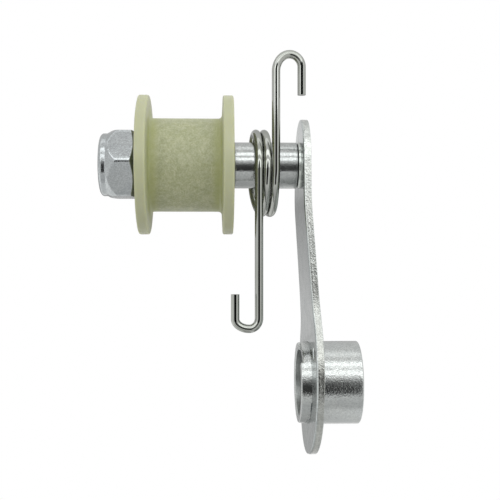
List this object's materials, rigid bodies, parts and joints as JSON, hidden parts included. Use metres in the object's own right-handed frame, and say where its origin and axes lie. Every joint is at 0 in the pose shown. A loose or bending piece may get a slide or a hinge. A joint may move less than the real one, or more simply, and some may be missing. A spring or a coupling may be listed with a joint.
{
  "type": "chain tensioner",
  "caption": "Joggled steel arm with a pivot bush in its eye and a riveted stud that carries a grooved nylon chain roller, a lock nut and a hooked torsion spring.",
  "frame": {"origin": "centre of the pivot bore, halfway along the bush", "axes": "+X along the pivot bore and the stud, from the lock nut towards the bush barrel; +Z from the pivot axis to the stud axis; +Y away from the side the spring legs are on"},
  "size_m": [0.0514, 0.032, 0.0794],
  "materials": {
    "zinc_sheet": "bright zinc plated sheet, satin faces, coarse sheared edge",
    "zinc_turned": "bright zinc plated, turned",
    "zinc_nut": "bluish zinc plated, satin",
    "insert_nylon": "natural nylon",
    "roller_nylon": "natural nylon, slightly mottled, soft sheen",
    "spring_wire": "polished spring wire"
  },
  "bodies": {
    "arm": {"arm_plate": "zinc_sheet", "pivot_bush": "zinc_turned", "axle_stud": "zinc_turned", "lock_nut": "zinc_nut", "nut_insert": "insert_nylon"},
    "roller": {"roller": "roller_nylon"},
    "spring": {"torsion_spring": "spring_wire"}
  },
  "joints": [
    {"name": "roller_spin", "type": "hinge", "parent": "arm", "child": "roller", "pos_m": [-0.0282, 0, 0.0433], "axis": [1, 0, 0], "continuous": true},
    {"name": "spring_swing", "type": "hinge", "parent": "arm", "child": "spring", "pos_m": [-0.0133, 0, 0.0433], "axis": [1, 0, 0], "range_deg": [-148, 102]}
  ]
}
